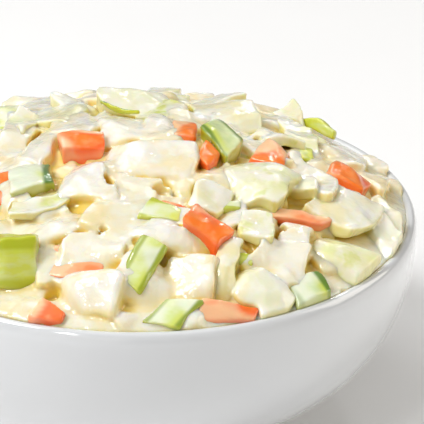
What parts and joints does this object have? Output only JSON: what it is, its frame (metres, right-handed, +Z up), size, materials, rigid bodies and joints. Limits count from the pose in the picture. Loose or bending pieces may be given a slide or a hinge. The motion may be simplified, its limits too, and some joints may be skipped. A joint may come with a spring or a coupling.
{
  "type": "bowl of coleslaw",
  "caption": "Round white bowl heaped with creamy chopped coleslaw: diced cabbage with carrot and green pieces.",
  "frame": {"origin": "centre of the bowl's foot, on the surface that the bowl stands on", "axes": "+Z up, the bowl's axis; the side that is seen first faces -Y, with +X to its right"},
  "size_m": [0.125, 0.125, 0.0683],
  "materials": {
    "porcelain": "glazed white porcelain, glossy",
    "cabbage": "white cabbage coated in creamy dressing, wet",
    "leaf": "pale green cabbage leaf, wet",
    "carrot": "diced carrot with a thin film of dressing, wet",
    "green": "green vegetable pieces with darker skin, wet",
    "dressing": "thick creamy dressing, glossy"
  },
  "bodies": {
    "root": {"bowl": "porcelain", "slaw": "cabbage"}
  },
  "joints": []
}
